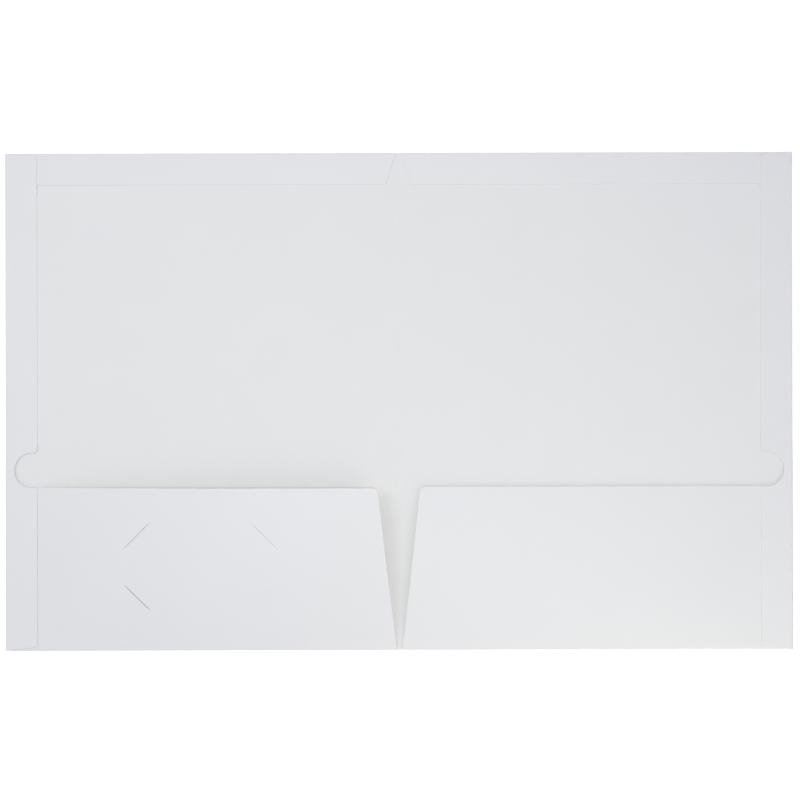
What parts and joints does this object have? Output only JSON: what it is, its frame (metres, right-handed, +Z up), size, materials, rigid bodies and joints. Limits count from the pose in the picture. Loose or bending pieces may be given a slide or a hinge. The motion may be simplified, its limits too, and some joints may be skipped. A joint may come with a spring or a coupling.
{
  "type": "two pocket folder",
  "caption": "Open white card presentation folder with hemmed edges, thumb notches, a slanted pocket on each leaf and business card slits; it closes along a scored spine.",
  "frame": {"origin": "middle of the open folder, half way up the spine, on the surface that it lies on", "axes": "+X from the left leaf to the right leaf, +Y along the spine to the top edge, +Z up out of the inside"},
  "size_m": [0.4826, 0.3048, 0.0017],
  "materials": {
    "card_inside": "smooth matt white card, the uncoated inside of the sheet",
    "card_coated": "satin coated white card, the outside of the sheet",
    "adhesive": "dry white glue, hidden between the panels"
  },
  "bodies": {
    "left_leaf": {"left_cover": "card_inside", "spine_crease": "card_inside", "left_top_flap": "card_coated", "left_top_fold": "card_coated", "left_top_glue": "adhesive", "left_side_flap": "card_coated", "left_side_fold": "card_coated", "left_side_glue": "adhesive", "left_pocket": "card_coated", "left_pocket_fold": "card_coated", "left_pocket_glue": "adhesive"},
    "right_leaf": {"right_cover": "card_inside", "right_top_flap": "card_coated", "right_top_fold": "card_coated", "right_top_glue": "adhesive", "right_side_flap": "card_coated", "right_side_fold": "card_coated", "right_side_glue": "adhesive", "right_pocket": "card_coated", "right_pocket_fold": "card_coated", "right_pocket_glue": "adhesive"}
  },
  "joints": [
    {"name": "spine_fold", "type": "hinge", "parent": "left_leaf", "child": "right_leaf", "pos_m": [0, 0, 0.00148], "axis": [0, -1, 0], "range_deg": [0, 179.8]}
  ]
}
